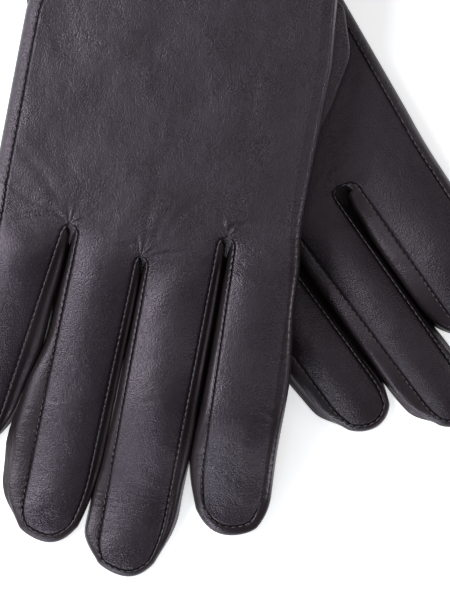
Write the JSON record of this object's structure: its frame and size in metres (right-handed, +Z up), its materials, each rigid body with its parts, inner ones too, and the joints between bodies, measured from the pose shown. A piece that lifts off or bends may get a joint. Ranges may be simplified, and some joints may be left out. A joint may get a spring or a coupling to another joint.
{
  "type": "pair of leather dress gloves",
  "caption": "Pair of plain smooth leather dress gloves lying crossed, one back up over the other palm up, with sewn finger side walls and open cuffs.",
  "frame": {"origin": "middle of the pair's outline on the surface it lies on", "axes": "+Z up from the surface, +Y towards the cuffs, +X towards the index side of both gloves; fingers point towards -Y"},
  "size_m": [0.1816, 0.2738, 0.0242],
  "materials": {
    "nappa_leather": "smooth semi-gloss nappa, near black with a faint plum cast",
    "side_leather": "smooth nappa of the finger side walls",
    "hem_leather": "turned hem, matt",
    "lining": "fine knitted lining"
  },
  "bodies": {
    "left_hand": {"left_hand_back": "nappa_leather", "left_hand_palm": "nappa_leather", "left_cuff_hem": "hem_leather", "left_lining_hand": "lining", "left_middle_palm": "nappa_leather", "left_middle_back": "nappa_leather", "left_middle_fourchette_index_side": "side_leather", "left_middle_fourchette_little_side": "side_leather", "left_lining_middle": "lining", "left_ring_palm": "nappa_leather", "left_ring_back": "nappa_leather", "left_ring_fourchette_index_side": "side_leather", "left_ring_fourchette_little_side": "side_leather", "left_lining_ring": "lining", "left_little_palm": "nappa_leather", "left_little_back": "nappa_leather", "left_little_fourchette": "side_leather", "left_lining_little": "lining"},
    "left_thumb": {"left_thumb": "nappa_leather", "left_lining_thumb": "lining"},
    "left_index": {"left_index_palm": "nappa_leather", "left_index_back": "nappa_leather", "left_index_fourchette": "side_leather", "left_lining_index": "lining"},
    "right_hand": {"right_hand_back": "nappa_leather", "right_hand_palm": "nappa_leather", "right_cuff_hem": "hem_leather", "right_lining_hand": "lining"},
    "right_thumb": {"right_thumb": "nappa_leather", "right_lining_thumb": "lining"},
    "right_index": {"right_index_back": "nappa_leather", "right_index_palm": "nappa_leather", "right_index_fourchette": "side_leather", "right_lining_index": "lining"},
    "right_middle": {"right_middle_back": "nappa_leather", "right_middle_palm": "nappa_leather", "right_middle_fourchette_index_side": "side_leather", "right_middle_fourchette_little_side": "side_leather", "right_lining_middle": "lining"},
    "right_ring": {"right_ring_back": "nappa_leather", "right_ring_palm": "nappa_leather", "right_ring_fourchette_index_side": "side_leather", "right_ring_fourchette_little_side": "side_leather", "right_lining_ring": "lining"},
    "right_little": {"right_little_back": "nappa_leather", "right_little_palm": "nappa_leather", "right_little_fourchette": "side_leather", "right_lining_little": "lining"}
  },
  "joints": [
    {"name": "lift_off", "type": "slide", "parent": "left_hand", "child": "right_hand", "axis": [0, 0, 1], "range_m": [0, 0.08]},
    {"name": "right_index_knuckle", "type": "hinge", "parent": "right_hand", "child": "right_index", "pos_m": [0.01457, -0.04794, 0.0243], "axis": [-0.9826, 0.1857, 0], "range_deg": [0, 35]},
    {"name": "right_middle_knuckle", "type": "hinge", "parent": "right_hand", "child": "right_middle", "pos_m": [-0.00921, -0.04345, 0.0243], "axis": [-0.9826, 0.1857, 0], "range_deg": [0, 35]},
    {"name": "right_ring_knuckle", "type": "hinge", "parent": "right_hand", "child": "right_ring", "pos_m": [-0.03122, -0.03929, 0.0243], "axis": [-0.9826, 0.1857, 0], "range_deg": [0, 35]},
    {"name": "right_little_knuckle", "type": "hinge", "parent": "right_hand", "child": "right_little", "pos_m": [-0.05411, -0.03496, 0.0243], "axis": [-0.9826, 0.1857, 0], "range_deg": [0, 35]},
    {"name": "right_thumb_swing", "type": "hinge", "parent": "right_hand", "child": "right_thumb", "pos_m": [0.02961, 0.02463, 0.0121], "axis": [0, 0, 1], "range_deg": [0, 22]},
    {"name": "left_index_knuckle", "type": "hinge", "parent": "left_hand", "child": "left_index", "pos_m": [0.05209, -0.01621, 0.0096], "axis": [-0.8669, -0.4985, 0], "range_deg": [0, 70]},
    {"name": "left_thumb_swing", "type": "hinge", "parent": "left_hand", "child": "left_thumb", "pos_m": [0.01783, 0.07264, 0.0047], "axis": [0, 0, 1], "range_deg": [0, 30]}
  ]
}
